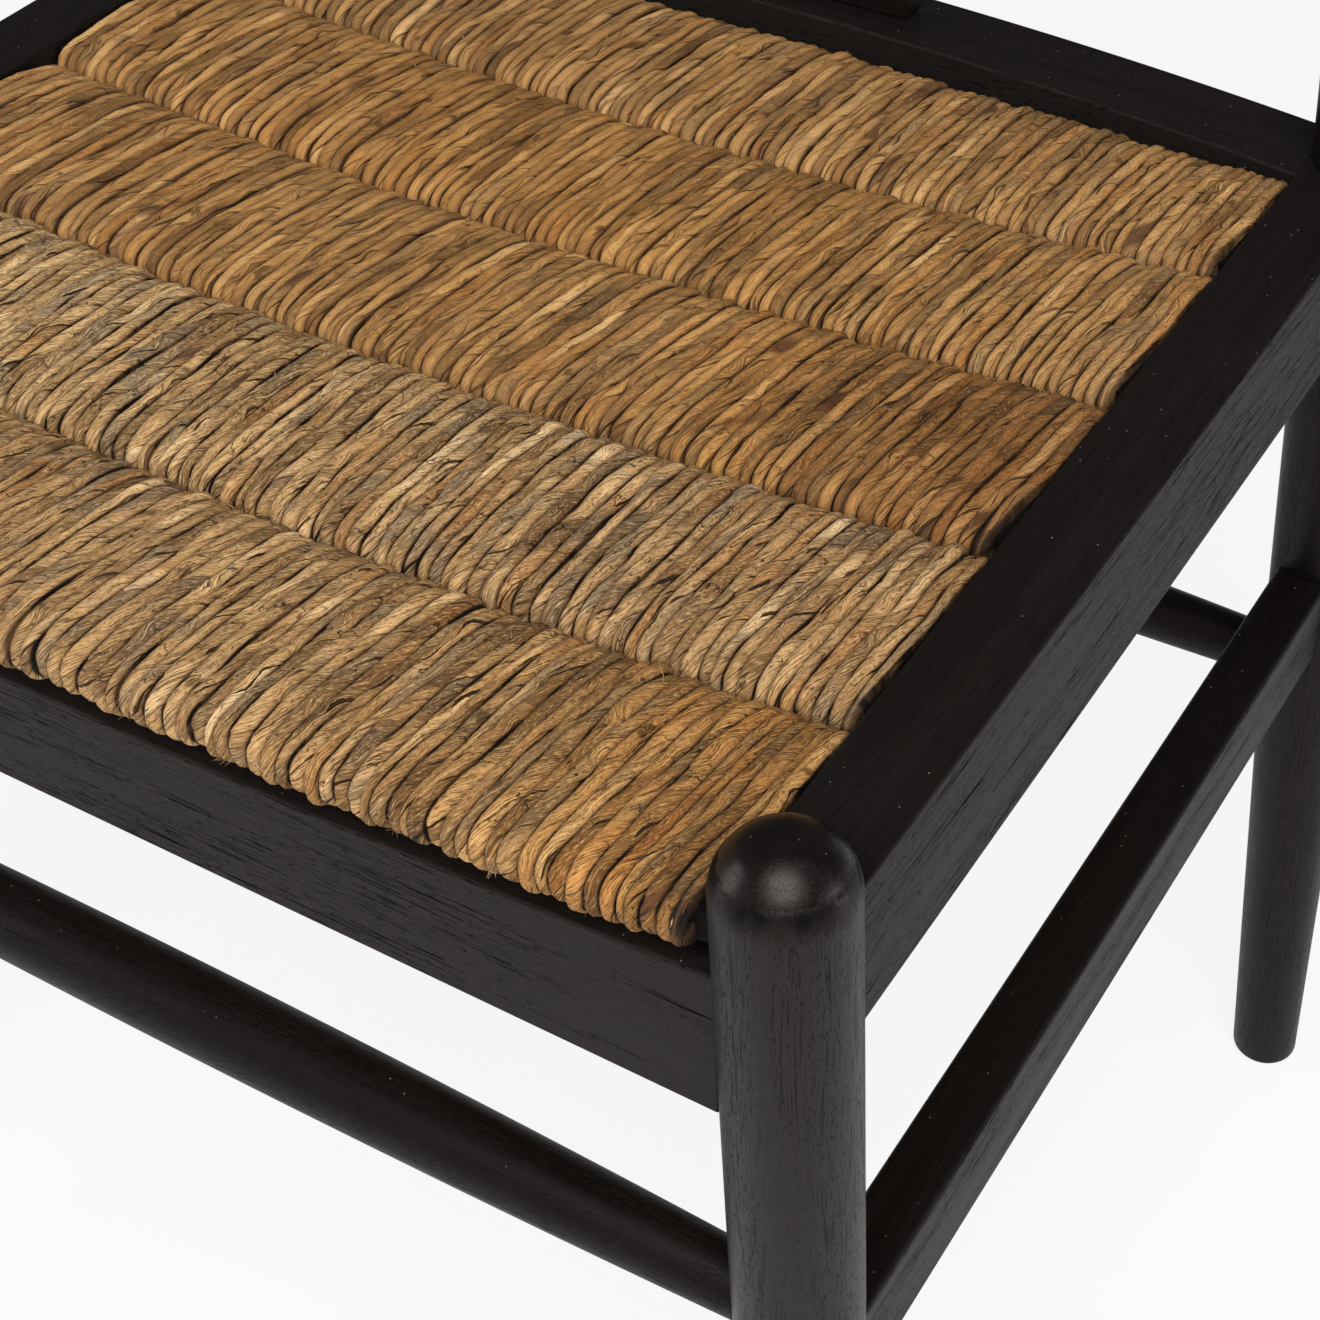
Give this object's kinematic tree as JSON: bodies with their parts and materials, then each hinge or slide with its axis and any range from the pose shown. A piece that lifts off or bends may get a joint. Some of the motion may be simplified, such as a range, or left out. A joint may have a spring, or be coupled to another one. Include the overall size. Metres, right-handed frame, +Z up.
{
  "type": "side chair",
  "caption": "Black teak side chair with turned legs, bowed back and crest rails, a central splat and a dished seat of cord-wrapped slats.",
  "frame": {"origin": "on the floor, under the middle of the chair's bounding box", "axes": "+Z up, the front of the seat faces -Y, +X to the right of someone who looks at the chair from the front"},
  "size_m": [0.55, 0.4614, 0.8226],
  "materials": {
    "black_teak": "open-grain teak, black stain, matt oil",
    "slat_wood": "sawn teak, unfinished",
    "leaf_cord": "twisted dry banana-leaf cord, natural",
    "glide_plastic": "moulded, matt"
  },
  "bodies": {
    "root": {"front_leg_left": "black_teak", "front_leg_right": "black_teak", "back_post_left": "black_teak", "back_post_right": "black_teak", "front_rail": "black_teak", "back_rail": "black_teak", "side_rail_left": "black_teak", "side_rail_right": "black_teak", "front_stretcher": "black_teak", "back_stretcher": "black_teak", "side_stretcher_left": "black_teak", "side_stretcher_right": "black_teak", "back_splat": "black_teak", "crest_rail": "black_teak", "seat_slat_1": "slat_wood", "seat_slat_2": "slat_wood", "seat_slat_3": "slat_wood", "seat_slat_4": "slat_wood", "seat_slat_5": "slat_wood", "seat_wrap_1": "leaf_cord", "seat_wrap_2": "leaf_cord", "seat_wrap_3": "leaf_cord", "seat_wrap_4": "leaf_cord", "seat_wrap_5": "leaf_cord", "glide_front_left": "glide_plastic", "glide_front_right": "glide_plastic", "glide_back_left": "glide_plastic", "glide_back_right": "glide_plastic"}
  },
  "joints": []
}
